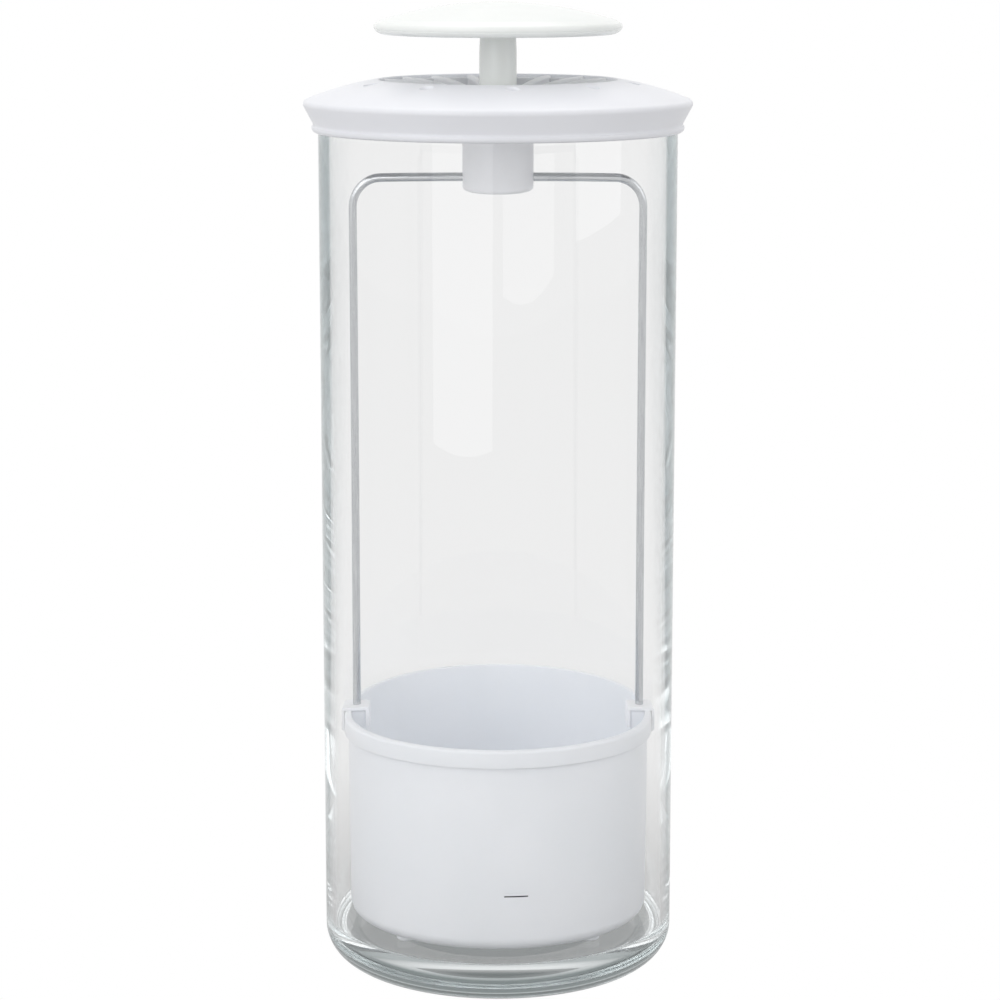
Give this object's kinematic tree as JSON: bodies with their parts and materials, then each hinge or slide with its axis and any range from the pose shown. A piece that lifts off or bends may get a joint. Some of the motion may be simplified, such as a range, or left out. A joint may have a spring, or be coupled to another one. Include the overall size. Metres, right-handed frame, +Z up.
{
  "type": "herb keeper",
  "caption": "Tall clear jar with a thick base, a vented ribbed lid and a round pull knob whose wire frame lifts out a white cup.",
  "frame": {"origin": "middle of the circle on which the jar stands, at the height of what it stands on", "axes": "+Z up along the jar's axis; +Y away from the side with the fill mark; +X to the right seen from that side"},
  "size_m": [0.1082, 0.1082, 0.2739],
  "materials": {
    "clear_glass": "polished",
    "lid_plastic": "satin moulded",
    "inner_plastic": "moulded",
    "knob_plastic": "satin moulded",
    "cup_plastic": "satin moulded",
    "silicone": "soft matte",
    "stainless_wire": "drawn bright",
    "screw_steel": "rolled"
  },
  "bodies": {
    "jar": {"glass_jar": "clear_glass"},
    "lid": {"lid_shell": "lid_plastic", "vent_grille": "lid_plastic", "lid_liner": "inner_plastic", "lid_seal": "silicone", "stem_bush": "inner_plastic"},
    "core": {"grip_cap": "knob_plastic", "grip_base": "knob_plastic", "grip_washer": "screw_steel", "grip_screw": "screw_steel", "stem": "knob_plastic", "bumper_washer": "silicone", "yoke": "inner_plastic", "stem_screw": "screw_steel", "wire_frame": "stainless_wire", "yoke_cap": "inner_plastic", "yoke_screw_front": "screw_steel", "yoke_screw_rear": "screw_steel", "cup": "cup_plastic", "left_leg_clip": "cup_plastic", "right_leg_clip": "cup_plastic"}
  },
  "joints": [
    {"name": "lid_lift", "type": "slide", "parent": "jar", "child": "lid", "axis": [0, 0, 1], "range_m": [0, 0.24]},
    {"name": "core_lift", "type": "slide", "parent": "lid", "child": "core", "axis": [0, 0, 1], "range_m": [0, 0.006]}
  ]
}
